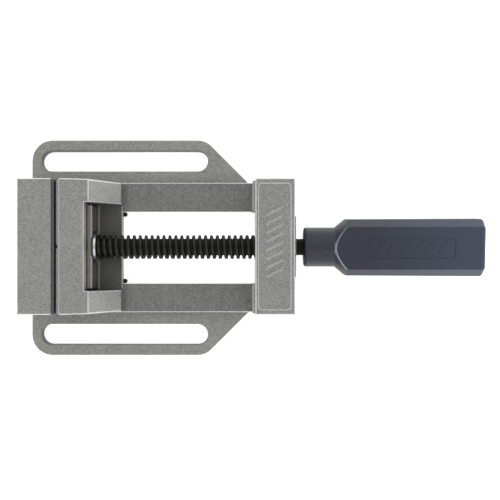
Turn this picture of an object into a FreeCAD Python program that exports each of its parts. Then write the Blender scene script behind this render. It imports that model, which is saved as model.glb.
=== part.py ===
# Low-profile machine vise with slotted side flanges, as a parametric document.
#
# Frame: origin on the bottom plane at the centre of the two mounting slots,
# +X towards the handle, along the screw, and +Z up.  Millimetres.
# Every driving size is a cell of the sheet "dims"; the features are bound to those cells.
import FreeCAD, Part
import math
import os
import re

import Sketcher
from FreeCAD import Vector

DIMENSIONS = (
    # frame casting: flanges, rails, fixed jaw and rear bridge
    ("jaw_width", 80.6, "width of the jaws, the rails and the bridge"),
    ("jaw_top", 45, "height of both jaws"),
    ("front_face", 58.4, "slot centre to the front face"),
    ("fixed_jaw_depth", 20.2, "front face to the seat of the fixed jaw plate"),
    ("flange_width", 135.6, "overall width across the flanges"),
    ("flange_height", 8, "thickness of the flanges"),
    ("flange_rear", 51.1, "slot centre to the rear corner of a flange"),
    ("front_corner_radius", 13, "flange corner at the front"),
    ("rear_corner_radius", 12, "flange corner at the start of the diagonal"),
    ("waist_radius", 5, "where the diagonal meets the rail"),
    ("slot_spacing", 109.2, "between the two mounting slots"),
    ("slot_length", 105, "end to end"),
    ("slot_width", 13, "for a 12 mm table bolt"),
    ("rail_top", 15, "height of the rails"),
    ("window_front", 36, "slot centre to the front end of the window"),
    ("window_width", 45.2, "between the rails"),
    ("window_radius", 2, "corners of the window"),
    ("undercut_width", 62, "room for the keeper plate below the rails"),
    ("undercut_height", 8, "depth of that room"),
    ("undercut_rear", 80, "slot centre to the rear end of that room"),
    ("bridge_front", 82.1, "slot centre to the front face of the bridge"),
    ("bridge_rear", 105.7, "slot centre to the rear face of the bridge"),
    ("bridge_top", 45, "height of the bridge"),
    ("stop_depth", 1.6, "how far the stops stand out of the bridge"),
    ("stop_top", 30, "height of the stops"),
    ("boss_width", 36, "raised field around the screw on the rear face"),
    ("boss_top", 39.3, "height of that field"),
    ("boss_depth", 0.8, "how far that field stands out"),
    ("panel_length", 74, "sunk panel on top of the bridge"),
    ("panel_width", 18.5, "the same, along X"),
    ("panel_centre", 93.6, "the same, from the slot centre"),
    ("panel_depth", 0.7, "how far it is sunk"),
    ("panel_radius", 2, "its corners"),
    ("panel_rim", 0.5, "broken edge around it"),
    ("bar_first", -15.6, "middle of the panel to the first bar"),
    ("bar_pitch", 5.2, "between the raised bars on the panel"),
    ("bar_width", 2.2, "width of a bar"),
    ("bar_reach", 5.2, "half of a bar's length across the panel"),
    ("bar_slant", 2.6, "sideways lean of a bar over its length"),
    ("bar_height", 0.45, "how far a bar stands above the panel"),
    ("core_wall", 4, "wall left around the cores on the underside"),
    ("jaw_core_top", 38, "top of the cores in the fixed jaw"),
    ("core_length", 22, "length of one core along Y"),
    ("core_pitch", 25, "between the cores of the fixed jaw"),
    ("bridge_core_inner", 13, "inner end of a core beside the screw"),
    ("bridge_core_top", 38, "top of the cores in the bridge"),
    ("edge_radius", 1, "cast edges"),
    ("rail_edge_radius", 0.8, "outer edges of the rails"),
    ("slot_chamfer", 0.25, "upper edge of the mounting slots"),
    # jaw plates and their screws
    ("plate_depth", 1.7, "thickness of a jaw plate"),
    ("plate_width", 79, "width of a jaw plate"),
    ("plate_bottom", 16, "lower edge of the jaw plates"),
    ("plate_top", 43.8, "upper edge of the jaw plates"),
    ("plate_chamfer", 0.4, "edges of the clamping face"),
    ("jaw_gap", 0.8, "between the two plates as the vise stands"),
    ("groove_width", 5, "upright V groove in the moving plate"),
    ("groove_depth", 1.3, "depth of that groove"),
    ("plate_screw_offset", 25, "plate screws, from the middle of the jaw"),
    ("plate_screw_height", 30, "plate screws, above the base"),
    ("plate_screw_radius", 1.5, "M3 countersunk screw"),
    ("plate_head_radius", 2.9, "its head"),
    ("plate_head_depth", 1.4, "height of its cone"),
    ("plate_screw_reach", 8, "its length below the plate"),
    ("tap_spare", 1, "how much deeper its tapped hole is"),
    ("plate_slot_width", 0.9, "its driver slot"),
    ("plate_slot_depth", 0.7, "depth of that slot"),
    # moving jaw
    ("jaw_depth", 34.0, "moving jaw, from the plate seat to its rear face"),
    ("jaw_clearance", 0.3, "moving jaw above and between the rails"),
    ("shoulder_rear", 24, "height of the shoulder's rear edge"),
    ("shoulder_run", 16.2, "length of the sloping shoulder"),
    ("jaw_taper", 0.9, "how much narrower each side is at the rear"),
    ("well_width", 52.6, "well behind the jaw, between the shoulders"),
    ("well_floor", 18, "height of its floor"),
    ("well_depth", 18.9, "length of the well, from the rear face"),
    ("well_radius", 0.8, "upright corners of the well"),
    ("lip_depth", 1.5, "lip that holds the thrust plate's foot"),
    ("lip_height", 2, "height of that lip above the floor"),
    ("lip_gap", 16, "gap in the lip, below the collar"),
    ("foot_bottom", 7.7, "underside of the guide foot"),
    ("foot_rear", 0.6, "foot's rear face, ahead of the jaw's"),
    ("tip_recess_radius", 6.4, "recess for the screw's tip"),
    ("tip_recess_depth", 4.6, "depth of that recess"),
    ("tip_recess_lift", 2.1, "its extra height, to drop the plate in"),
    ("shoulder_core_inner", 27, "inner side of the shoulder's core"),
    ("shoulder_core_outer", 36, "outer side of the shoulder's core"),
    ("shoulder_core_top", 27, "top of that core"),
    ("shoulder_core_rear", 6, "wall behind that core"),
    ("well_rim_radius", 0.6, "upper edges along the well"),
    ("top_chamfer", 0.8, "front top edge of the moving jaw"),
    # thrust plate, keeper plate
    ("thrust_width", 51, "thrust plate, along Y"),
    ("thrust_depth", 3.5, "its thickness"),
    ("thrust_top", 36, "height of its upper edge"),
    ("thrust_radius", 1, "its rounded edges"),
    ("seat_radius", 9.85, "counterbore for the thrust washer"),
    ("seat_depth", 0.5, "depth of that counterbore"),
    ("keeper_depth", 26.4, "keeper plate, along X"),
    ("keeper_width", 58, "its width"),
    ("keeper_thickness", 2.5, "its thickness"),
    ("keeper_front", 30, "slot centre to its front edge"),
    ("keeper_radius", 2, "its corners"),
    ("ear_reach", 5.2, "ears behind the keeper plate"),
    ("ear_root", 2, "how far they start inside the plate"),
    ("ear_middle", 21, "ears, from the middle"),
    ("ear_radius", 1.4, "half of an ear's width"),
    ("keeper_screw_x", 16.5, "keeper screws, ahead of the jaw's rear face"),
    ("keeper_screw_y", 14, "keeper screws, from the middle"),
    ("keeper_screw_radius", 2.5, "M5 button head screw"),
    ("keeper_head_radius", 4.6, "its head"),
    ("keeper_head_height", 2.6, "height of its head"),
    ("keeper_crown_radius", 2.8, "flat crown of its head"),
    ("keeper_rim_height", 0.7, "upright rim of its head"),
    ("keeper_screw_reach", 8, "its length in the jaw"),
    ("keeper_tap_spare", 0.3, "how much deeper its tapped hole is"),
    ("keeper_socket", 3, "across flats of its socket"),
    ("keeper_socket_depth", 1.5, "depth of that socket"),
    ("washer_thickness", 0.9, "lock washer under each head"),
    ("washer_radius", 4.4, "its outer radius"),
    ("washer_split", 0.8, "its gap"),
    ("hole_clearance", 0.25, "screw holes, around a screw"),
    # screw spindle and what it carries
    ("spindle_height", 28, "axis of the screw above the base"),
    ("thread_radius", 7.25, "outer radius of the thread"),
    ("thread_root", 5.05, "root radius of the thread"),
    ("thread_pitch", 3.6, "advance in one turn"),
    ("thread_crest", 1.4, "width of a crest"),
    ("thread_valley", 1.1, "width of the groove's floor"),
    ("thread_overcut", 0.4, "how far the cutting section stands out"),
    ("thread_front", 13.5, "collar's rear face, ahead of the jaw's rear face"),
    ("thread_rear", 103, "slot centre to the end of the thread"),
    ("thread_chamfer", 1.2, "at the end of the thread"),
    ("journal_radius", 4.25, "plain tip of the screw"),
    ("tip_front", 22.6, "end of the tip, ahead of the jaw's rear face"),
    ("tip_chamfer", 0.5, "at the end of the tip"),
    ("shank_radius", 5, "plain shank that carries the handle"),
    ("shank_rear", 150, "slot centre to the end of the shank"),
    ("running_clearance", 0.05, "radial, between a journal and its hole"),
    ("bush_radius", 10, "threaded bush pressed into the bridge"),
    ("thread_clearance", 0.09, "radial, between the thread and the bush"),
    ("washer_play", 0.05, "end play beside the thrust washers"),
    ("rear_washer_radius", 9.6, "dark thrust washer behind the plate"),
    ("collar_radius", 9.2, "bright collar behind that washer"),
    ("collar_thickness", 1.3, "thickness of the collar"),
    ("front_washer_radius", 6, "washer between the plate and the ring"),
    ("front_washer_thickness", 1, "its thickness"),
    ("ring_radius", 5.6, "retaining ring at the tip"),
    ("ring_groove_radius", 3.65, "bottom of its groove"),
    ("ring_thickness", 1, "its thickness"),
    ("ring_opening", 3, "gap between its ends"),
    # handle
    ("handle_front", 111.4, "slot centre to the front face of the handle"),
    ("handle_rear", 219.4, "slot centre to the rear face of the handle"),
    ("handle_turn", 5, "how far the handle stands turned, in degrees"),
    ("neck_radius", 11.9, "round neck"),
    ("neck_length", 18.6, "length of the neck"),
    ("neck_edge_radius", 1.5, "front edge of the neck"),
    ("cone_radius", 19.2, "where the cone has spread past the paddle"),
    ("cone_length", 8.7, "length of the cone"),
    ("paddle_thickness", 24.0, "between the two flats"),
    ("flat_half_width", 12.6, "half of the width of a flat"),
    ("paddle_front_width", 33.6, "width of the paddle at the cone"),
    ("paddle_rear_width", 34.6, "width of the paddle at its rear end"),
    ("bevel_drop", 4.8, "fall of a bevel, for bevel_run of width"),
    ("bevel_run", 3.5, "width that goes with that fall"),
    ("paddle_edge_radius", 1.2, "long edges of the paddle"),
    ("paddle_end_radius", 2.5, "rear edges of the paddle"),
    ("label_front", 150.3, "slot centre to the label field"),
    ("label_length", 51.1, "length of the label field"),
    ("label_width", 12, "width of the label field"),
    ("label_depth", 0.5, "how far it is sunk"),
    ("label_bar_first", 6, "front end of the field to the first bar"),
    ("label_bar_pitch", 7.5, "between the bars in the label field"),
    ("label_bar_width", 2.4, "width of a bar"),
    ("label_bar_reach", 3.4, "half of a bar's length across the field"),
    ("label_bar_slant", 2.2, "sideways lean of a bar over its length"),
    ("label_bar_height", 0.35, "how far a bar stands above the field"),
    ("pin_place", 124.6, "slot centre to the cross pin of the handle"),
    ("pin_turn", 15.7, "angle between the pin and the paddle's flats' normal"),
    ("pin_radius", 1.5, "radius of the cross pin"),
    ("pin_length", 23, "its length"),
)

PANEL_BARS = 8
LABEL_BARS = 6
MARGIN = 1  # mm, around the place where an edge is looked for

# Expressions in the sheet's cells that more than one sub-part uses: places along X, then along Z.
FIXED_SEAT = "(fixed_jaw_depth - front_face)"
FIXED_FACE = f"({FIXED_SEAT} + plate_depth)"
MOVING_FACE = f"({FIXED_FACE} + jaw_gap)"
JAW_FRONT = f"({MOVING_FACE} + plate_depth)"
JAW_REAR = f"({JAW_FRONT} + jaw_depth)"
WELL_FRONT = f"({JAW_REAR} - well_depth)"
THRUST_REAR = f"({WELL_FRONT} + thrust_depth)"
COLLAR_REAR = f"({JAW_REAR} - thread_front)"
COLLAR_FRONT = f"({COLLAR_REAR} - collar_thickness)"
JAW_BOTTOM = "(rail_top + jaw_clearance)"
FOOT_SIDE = "(window_width / 2 - jaw_clearance)"
KEEPER_BOTTOM = "(foot_bottom - keeper_thickness)"
HEAD_TOP = f"({KEEPER_BOTTOM} - washer_thickness)"

doc = FreeCAD.newDocument("machine_vise")
sheet = doc.addObject("Spreadsheet::Sheet", "dims")
for row, (alias, value, meaning) in enumerate(DIMENSIONS, start=1):
    sheet.set(f"A{row}", meaning)
    sheet.set(f"B{row}", str(value))
    sheet.setAlias(f"B{row}", alias)
doc.recompute()


def number(expression):
    """The present value of an expression in the sheet's cells."""
    return float(sheet.evalExpression(expression))


def bind(target, path, expression):
    """Tie a property to an expression in the sheet's cells."""
    target.setExpression(path, re.sub(r"[a-z]\w+\b(?!\()", r"dims.\g<0>", expression))


def negative(expression):
    """The expression with its sign changed."""
    return f"-({expression})"


class Profile:
    """A fully constrained sketch whose points are pairs of expressions."""

    def __init__(self, body, name, plane="XY_Plane", level="0", rise="0", shift="0", tilt="0"):
        self.sketch = body.newObject("Sketcher::SketchObject", name)
        planes = body.Origin.OriginFeatures
        support = next(item for item in planes if item.Role == plane)
        self.sketch.AttachmentSupport = [(support, "")]
        self.sketch.MapMode = "FlatFace"
        self.sketch.AttachmentOffset.Rotation.Axis = Vector(1, 0, 0)
        bind(self.sketch, "AttachmentOffset.Base.x", shift)
        bind(self.sketch, "AttachmentOffset.Base.y", rise)
        bind(self.sketch, "AttachmentOffset.Base.z", level)
        bind(self.sketch, "AttachmentOffset.Rotation.Angle", tilt)

    def limit(self, expression, kind, *elements):
        """Add a dimension whose value is an expression."""
        dimension = Sketcher.Constraint(kind, *elements, number(expression))
        index = self.sketch.addConstraint(dimension)
        bind(self.sketch, f"Constraints[{index}]", expression)

    def place(self, geometry, position, point):
        """Tie both coordinates of a point to the sketch's origin."""
        self.limit(point[0], "DistanceX", -1, 1, geometry, position)
        self.limit(point[1], "DistanceY", -1, 1, geometry, position)

    def polygon(self, *points):
        """Add a closed outline of straight lines."""
        corners = [Vector(number(u), number(v), 0) for u, v in points]
        following = corners[1:] + corners[:1]
        lines = [
            self.sketch.addGeometry(Part.LineSegment(start, end), False)
            for start, end in zip(corners, following)
        ]
        for line, next_line, point in zip(lines, lines[1:] + lines[:1], points):
            joint = Sketcher.Constraint("Coincident", line, 2, next_line, 1)
            self.sketch.addConstraint(joint)
            self.place(line, 1, point)
        return self

    def rectangle(self, low, high):
        """Add an upright rectangle between two opposite corners."""
        return self.polygon(low, (high[0], low[1]), high, (low[0], high[1]))

    def circle(self, centre, radius):
        """Add a full circle."""
        middle = Vector(number(centre[0]), number(centre[1]), 0)
        curve = Part.Circle(middle, Vector(0, 0, 1), number(radius))
        circle = self.sketch.addGeometry(curve, False)
        self.place(circle, 3, centre)
        self.limit(radius, "Radius", circle)
        return self

    def obround(self, low, high, radius):
        """Add two half circles about the centres low and high, joined by straight sides."""
        centres = [Vector(number(u), number(v), 0) for u, v in (low, high)]
        heading = centres[1] - centres[0]
        angle = math.atan2(heading.y, heading.x)
        side = Vector(-math.sin(angle), math.cos(angle), 0) * number(radius)
        arcs = []
        for centre, start in zip(centres, (angle + math.pi / 2, angle - math.pi / 2)):
            curve = Part.Circle(centre, Vector(0, 0, 1), number(radius))
            arc = Part.ArcOfCircle(curve, start, start + math.pi)
            arcs.append(self.sketch.addGeometry(arc, False))
        right = Part.LineSegment(centres[0] - side, centres[1] - side)
        left = Part.LineSegment(centres[1] + side, centres[0] + side)
        sides = [self.sketch.addGeometry(line, False) for line in (right, left)]
        ring = (arcs[0], sides[0], arcs[1], sides[1], arcs[0])
        for before, after in zip(ring, ring[1:]):
            tangent = Sketcher.Constraint("Tangent", before, 2, after, 1)
            self.sketch.addConstraint(tangent)
        self.place(arcs[0], 3, low)
        self.limit(radius, "Radius", arcs[0])
        self.limit(high[0], "DistanceX", -1, 1, arcs[1], 3)
        if abs(heading.y) > abs(heading.x):
            self.limit(high[1], "DistanceY", -1, 1, arcs[1], 3)
        return self


def new_body(name):
    """An empty body whose Label is the sub-part's name."""
    body = doc.addObject("PartDesign::Body", name)
    body.Label = name
    body.AllowCompound = True
    return body


def extrude(kind, profile, length, reverse=False, symmetric=False):
    """Add a Pad or a Pocket of the profile to its body."""
    body = profile.sketch.getParentGeoFeatureGroup()
    before = body.Tip.Shape.Volume if kind == "Pocket" else math.inf
    feature = body.newObject(f"PartDesign::{kind}", f"{profile.sketch.Name}_{kind.lower()}")
    feature.Profile = profile.sketch
    bind(feature, "Length", length)
    feature.Reversed = reverse
    if symmetric:
        feature.SideType = "Symmetric"
    doc.recompute()
    if feature.Shape.Volume >= before:
        raise RuntimeError(f"{feature.Name} cuts nothing")
    return feature


def pad(profile, length, **options):
    """Add material along the profile's normal."""
    return extrude("Pad", profile, length, **options)


def pocket(profile, length, **options):
    """Remove material against the profile's normal."""
    return extrude("Pocket", profile, length, **options)


def revolve(profile, kind="Revolution", axis="H_Axis"):
    """Turn the profile about one of its sketch's axes: a Revolution or a Groove."""
    body = profile.sketch.getParentGeoFeatureGroup()
    feature = body.newObject(f"PartDesign::{kind}", f"{profile.sketch.Name}_{kind.lower()}")
    feature.Profile = profile.sketch
    feature.ReferenceAxis = (profile.sketch, [axis])
    feature.Angle = 360
    doc.recompute()
    return feature


def mirror(body, originals, plane="XZ_Plane"):
    """Repeat features on the other side of one of the body's own planes."""
    feature = body.newObject("PartDesign::Mirrored", f"{originals[-1].Name}_mirrored")
    feature.Originals = originals
    planes = body.Origin.OriginFeatures
    feature.MirrorPlane = (next(item for item in planes if item.Role == plane), [""])
    body.Tip = feature
    doc.recompute()
    return feature


def repeat(body, original, axis, step, count):
    """Repeat a feature in equal steps along one of its sketch's axes."""
    feature = body.newObject("PartDesign::LinearPattern", f"{original.Name}_row")
    feature.Originals = [original]
    feature.Direction = (original.Profile[0], [axis])
    bind(feature, "Length", f"{step} * {count - 1}")
    feature.Occurrences = count
    body.Tip = feature
    doc.recompute()
    return feature


def dress(kind, body, size, chosen):
    """Fillet or chamfer every edge whose bounding box passes the test."""
    base = body.Tip
    names = [
        f"Edge{index}"
        for index, edge in enumerate(base.Shape.Edges, start=1)
        if chosen(edge.BoundBox)
    ]
    if not names:
        raise RuntimeError(f"{body.Name}: no edge to {kind.lower()} after {base.Name}")
    feature = body.newObject(f"PartDesign::{kind}", f"{base.Name}_{kind.lower()}")
    feature.Base = (base, names)
    bind(feature, "Size" if kind == "Chamfer" else "Radius", size)
    doc.recompute()
    if "Invalid" in feature.State:
        raise RuntimeError(f"{body.Name}: cannot {kind.lower()} the edges of {base.Name}")
    return feature


def near(first, second):
    """Whether two places are the same, within the width of a hair."""
    return abs(first - second) < 0.05


def upright(box):
    """Whether an edge runs along Z."""
    return near(box.XLength, 0) and near(box.YLength, 0) and box.ZLength > 0.05


def level_at(box, height):
    """Whether an edge lies in the level plane at a height."""
    return near(box.ZMin, height) and near(box.ZMax, height)


def reach(box):
    """The edge's greatest distance from the plane Y = 0."""
    return max(abs(box.YMin), abs(box.YMax))


def both_sides(low, high):
    """Corner pairs of a rectangle at +Y and of its mirror image at -Y."""
    (u_low, v_low), (u_high, v_high) = low, high
    return ((low, high), ((u_low, negative(v_high)), (u_high, negative(v_low))))


def frame_casting():
    """The casting: flanges with slots, rails, fixed jaw and rear bridge."""
    body = new_body("frame_casting")
    cast_flanges(body)
    cast_blocks(body)
    cut_openings(body)
    cut_seats(body)
    cast_panel(body)
    cut_cores(body)
    soften_casting(body)
    return body


def cast_flanges(body):
    """Flange outline: square front, 45 degree diagonals behind the slots."""
    side, waist = "flange_width / 2", "jaw_width / 2"
    waist_place = f"(flange_rear + {side} - {waist})"
    half = (
        ("-front_face", side),
        ("flange_rear", side),
        (waist_place, waist),
        ("bridge_rear", waist),
    )
    other = tuple((u, negative(v)) for u, v in reversed(half))
    pad(Profile(body, "flange_plan").polygon(*half, *other), "flange_height")
    corners = (
        ("front_corner_radius", number("-front_face"), number(side)),
        ("rear_corner_radius", number("flange_rear"), number(side)),
        ("waist_radius", number(waist_place), number(waist)),
    )
    for radius, place, offset in corners:
        dress(
            "Fillet",
            body,
            radius,
            lambda box: upright(box) and near(box.XMin, place) and near(reach(box), offset),
        )
    dress("Fillet", body, "edge_radius", lambda box: level_at(box, number("flange_height")))


def cast_blocks(body):
    """Rails, fixed jaw, bridge, its stops and its rear boss, all from the base upwards."""
    side = "jaw_width / 2"
    blocks = (
        ("rails", "-front_face", "bridge_rear", side, "rail_top"),
        ("fixed_jaw", "-front_face", FIXED_SEAT, side, "jaw_top"),
        ("bridge", "bridge_front", "bridge_rear", side, "bridge_top"),
        ("boss", "bridge_rear", "bridge_rear + boss_depth", "boss_width / 2", "boss_top"),
    )
    for name, start, end, half_width, top in blocks:
        plan = Profile(body, name).rectangle((start, negative(half_width)), (end, half_width))
        pad(plan, top)
    stops = Profile(body, "stops")
    start = ("bridge_front - stop_depth", "window_width / 2")
    for low, high in both_sides(start, ("bridge_front", side)):
        stops.rectangle(low, high)
    pad(stops, "stop_top")


def cut_openings(body):
    """Window between the rails, room for the keeper below them, mounting slots."""
    half = "window_width / 2"
    window = Profile(body, "window", level="rail_top")
    window.rectangle(("-window_front", negative(half)), ("bridge_front", half))
    pocket(window, "rail_top")
    ends = (number("-window_front"), number("bridge_front"))
    dress(
        "Fillet",
        body,
        "window_radius",
        lambda box: upright(box)
        and near(reach(box), number(half))
        and near(box.ZLength, number("rail_top"))
        and any(near(box.XMin, end) for end in ends),
    )
    room = Profile(body, "undercut", level="undercut_height")
    low = ("-window_front", negative("undercut_width / 2"))
    room.rectangle(low, ("undercut_rear", "undercut_width / 2"))
    pocket(room, "undercut_height")
    slots = Profile(body, "mounting_slots", level="flange_height")
    end = "(slot_length - slot_width) / 2"
    for offset in ("slot_spacing / 2", "-slot_spacing / 2"):
        slots.obround((negative(end), offset), (end, offset), "slot_width / 2")
    pocket(slots, "flange_height")


def cut_seats(body):
    """Bore for the threaded bush, tapped holes for the fixed plate's screws."""
    bore = Profile(body, "bush_bore", "YZ_Plane", level="bridge_rear + boss_depth")
    bore.circle(("0", "spindle_height"), "bush_radius")
    pocket(bore, "bridge_rear + boss_depth - bridge_front")
    holes = Profile(body, "plate_screw_holes", "YZ_Plane", level=FIXED_SEAT)
    for offset in ("plate_screw_offset", "-plate_screw_offset"):
        holes.circle((offset, "plate_screw_height"), "plate_screw_radius")
    pocket(holes, "plate_screw_reach + tap_spare")


def cast_panel(body):
    """Sunk panel on top of the bridge, with a row of slanted raised bars."""
    low = ("panel_centre - panel_width / 2", "-panel_length / 2")
    high = ("panel_centre + panel_width / 2", "panel_length / 2")
    pocket(Profile(body, "panel", level="bridge_top").rectangle(low, high), "panel_depth")
    floor = number("bridge_top - panel_depth")
    dress(
        "Fillet",
        body,
        "panel_radius",
        lambda box: upright(box) and near(box.ZMin, floor) and near(reach(box), number(high[1])),
    )
    bar = Profile(body, "panel_bar", level="bridge_top - panel_depth").polygon(
        ("panel_centre - bar_reach", "bar_first - bar_slant - bar_width / 2"),
        ("panel_centre + bar_reach", "bar_first + bar_slant - bar_width / 2"),
        ("panel_centre + bar_reach", "bar_first + bar_slant + bar_width / 2"),
        ("panel_centre - bar_reach", "bar_first - bar_slant + bar_width / 2"),
    )
    repeat(body, pad(bar, "bar_height"), "V_Axis", "bar_pitch", PANEL_BARS)


def cut_cores(body):
    """Blind cores in the underside that keep the walls of the casting even."""
    jaw_cores = Profile(body, "jaw_cores", level="jaw_core_top")
    for middle in ("-core_pitch", "0", "core_pitch"):
        low = ("-front_face + core_wall", f"{middle} - core_length / 2")
        high = (f"{FIXED_SEAT} - core_wall", f"{middle} + core_length / 2")
        jaw_cores.rectangle(low, high)
    pocket(jaw_cores, "jaw_core_top")
    bridge_cores = Profile(body, "bridge_cores", level="bridge_core_top")
    low = ("bridge_front + core_wall", "bridge_core_inner")
    high = ("bridge_rear - core_wall", "bridge_core_inner + core_length")
    for corner, opposite in both_sides(low, high):
        bridge_cores.rectangle(corner, opposite)
    pocket(bridge_cores, "bridge_core_top")


def soften_casting(body):
    """Rounded edges of the jaw, the bridge and the rails, and broken edges of the slots."""
    side, panel_side = number("jaw_width / 2"), number("panel_length / 2")
    jaw_top, bridge_top = number("jaw_top"), number("bridge_top")
    flange_top, rail_top = number("flange_height"), number("rail_top")
    seat, bridge_front = number(FIXED_SEAT), number("bridge_front")

    def around_panel(box):
        return level_at(box, bridge_top) and box.XMin > bridge_front + MARGIN and (
            reach(box) < panel_side + MARGIN and box.XMax < number("bridge_rear") - MARGIN
        )

    def crown(box):
        outer = box.YLength > 2 * panel_side or near(reach(box), side)
        over_jaw = level_at(box, jaw_top) and box.XMax < seat + MARGIN
        return outer and not near(box.XMin, seat) and (over_jaw or level_at(box, bridge_top))

    dress("Chamfer", body, "panel_rim", around_panel)
    dress("Fillet", body, "edge_radius", crown)
    dress(
        "Fillet",
        body,
        "rail_edge_radius",
        lambda box: level_at(box, rail_top) and near(reach(box), side) and near(box.YLength, 0),
    )
    dress(
        "Chamfer",
        body,
        "slot_chamfer",
        lambda box: level_at(box, flange_top)
        and abs(box.Center.y) > number("(slot_spacing - slot_width) / 2") - MARGIN
        and reach(box) < number("(slot_spacing + slot_width) / 2") + MARGIN
        and box.XMin > number("-slot_length / 2") - MARGIN
        and box.XMax < number("slot_length / 2") + MARGIN,
    )


def jaw_plate(name, seat, face, away, grooved):
    """A hardened jaw plate. seat and face are places along X; away is the sign from face to seat."""
    body = new_body(name)
    half = "plate_width / 2"
    plan = Profile(body, f"{name}_plan", level="plate_bottom")
    outline = [(face, negative(half)), (seat, negative(half)), (seat, half), (face, half)]
    if grooved:
        valley = f"{face} {away} groove_depth"
        outline += [(face, "groove_width / 2"), (valley, "0"), (face, "-groove_width / 2")]
    pad(plan.polygon(*outline), "plate_top - plate_bottom")
    hole = plate_screw_profile(body, f"{name}_hole", seat, face, away, "hole_clearance")
    mirror(body, [revolve(hole, "Groove")])
    plate_top, face_place = number("plate_top"), number(face)
    dress(
        "Chamfer",
        body,
        "plate_chamfer",
        lambda box: level_at(box, plate_top)
        and near(box.XMin, face_place)
        and near(box.XMax, face_place),
    )
    return body


def plate_screw_profile(body, name, seat, face, away, clearance=""):
    """Half outline of a countersunk screw, or of its hole, turned about an axis along X."""
    profile = Profile(body, name, "XZ_Plane", "-plate_screw_offset", "plate_screw_height")
    narrow = f"{face} {away} plate_head_depth"
    end = f"{seat} {away} plate_screw_reach"
    outline = [(face, "0"), (face, "plate_head_radius")]
    if clearance:
        outline.append((narrow, "plate_screw_radius"))
    shank = f"plate_screw_radius + {clearance}" if clearance else "plate_screw_radius"
    return profile.polygon(*outline, (narrow, shank), (end, shank), (end, "0"))


def plate_screws(name, seat, face, away):
    """The two countersunk screws of a jaw plate, each with a driver slot."""
    body = new_body(name)
    screw = revolve(plate_screw_profile(body, f"{name}_half", seat, face, away))
    slot = Profile(body, f"{name}_slot", "YZ_Plane", face)
    low = ("plate_screw_offset - plate_slot_width / 2", "plate_screw_height - plate_head_radius")
    high = ("plate_screw_offset + plate_slot_width / 2", "plate_screw_height + plate_head_radius")
    cut = pocket(slot.rectangle(low, high), "plate_slot_depth", reverse=away == "+")
    mirror(body, [screw, cut])
    return body


def moving_jaw():
    """The sliding casting: jaw, sloping shoulders, well for the thrust plate, guide foot."""
    body = new_body("moving_jaw")
    cast_sliding_block(body)
    cut_well(body)
    cast_foot(body)
    soften_moving_jaw(body)
    return body


def cast_sliding_block(body):
    """Side outline across the full width, then the slight taper of the sides."""
    outline = Profile(body, "jaw_side", "XZ_Plane").polygon(
        (JAW_FRONT, JAW_BOTTOM),
        (JAW_REAR, JAW_BOTTOM),
        (JAW_REAR, "shoulder_rear"),
        (f"{JAW_REAR} - shoulder_run", "jaw_top"),
        (JAW_FRONT, "jaw_top"),
    )
    pad(outline, "jaw_width", symmetric=True)
    taper = Profile(body, "jaw_taper_cut", level="jaw_top")
    for side, lean in (("jaw_width / 2", "-"), ("-jaw_width / 2", "+")):
        corner = (JAW_REAR, f"{side} {lean} jaw_taper")
        taper.polygon((JAW_FRONT, side), (JAW_REAR, side), corner)
    pocket(taper, "jaw_top")


def cut_well(body):
    """Well behind the jaw, its lip, and the recess for the screw's tip."""
    half = "well_width / 2"
    well = Profile(body, "well", level="jaw_top")
    pocket(well.rectangle((WELL_FRONT, negative(half)), (JAW_REAR, half)), "jaw_top - well_floor")
    front = number(WELL_FRONT)
    dress("Fillet", body, "well_radius", lambda box: upright(box) and near(box.XMin, front))
    lip = Profile(body, "lip", level="well_floor")
    low, high = (THRUST_REAR, "lip_gap / 2"), (f"{THRUST_REAR} + lip_depth", half)
    for corner, opposite in both_sides(low, high):
        lip.rectangle(corner, opposite)
    pad(lip, "lip_height")
    recess = Profile(body, "tip_recess", "YZ_Plane", WELL_FRONT)
    top = ("0", "spindle_height + tip_recess_lift")
    recess.obround(("0", "spindle_height"), top, "tip_recess_radius")
    pocket(recess, "tip_recess_depth")


def cast_foot(body):
    """Guide foot between the rails, cores in the shoulders, tapped holes."""
    foot = Profile(body, "foot", level="foot_bottom")
    foot.rectangle((JAW_FRONT, negative(FOOT_SIDE)), (f"{JAW_REAR} - foot_rear", FOOT_SIDE))
    pad(foot, f"{JAW_BOTTOM} - foot_bottom")
    cores = Profile(body, "shoulder_cores", level="shoulder_core_top")
    low = (f"{JAW_FRONT} + core_wall", "shoulder_core_inner")
    high = (f"{JAW_REAR} - shoulder_core_rear", "shoulder_core_outer")
    for corner, opposite in both_sides(low, high):
        cores.rectangle(corner, opposite)
    pocket(cores, f"shoulder_core_top - {JAW_BOTTOM}")
    plate_holes = Profile(body, "moving_plate_holes", "YZ_Plane", JAW_FRONT)
    for offset in ("plate_screw_offset", "-plate_screw_offset"):
        plate_holes.circle((offset, "plate_screw_height"), "plate_screw_radius")
    pocket(plate_holes, "plate_screw_reach + tap_spare", reverse=True)
    keeper_holes = Profile(body, "keeper_holes", level="foot_bottom")
    for offset in ("keeper_screw_y", "-keeper_screw_y"):
        keeper_holes.circle((f"{JAW_REAR} - keeper_screw_x", offset), "keeper_screw_radius")
    pocket(keeper_holes, "keeper_screw_reach + keeper_tap_spare", reverse=True)


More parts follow.
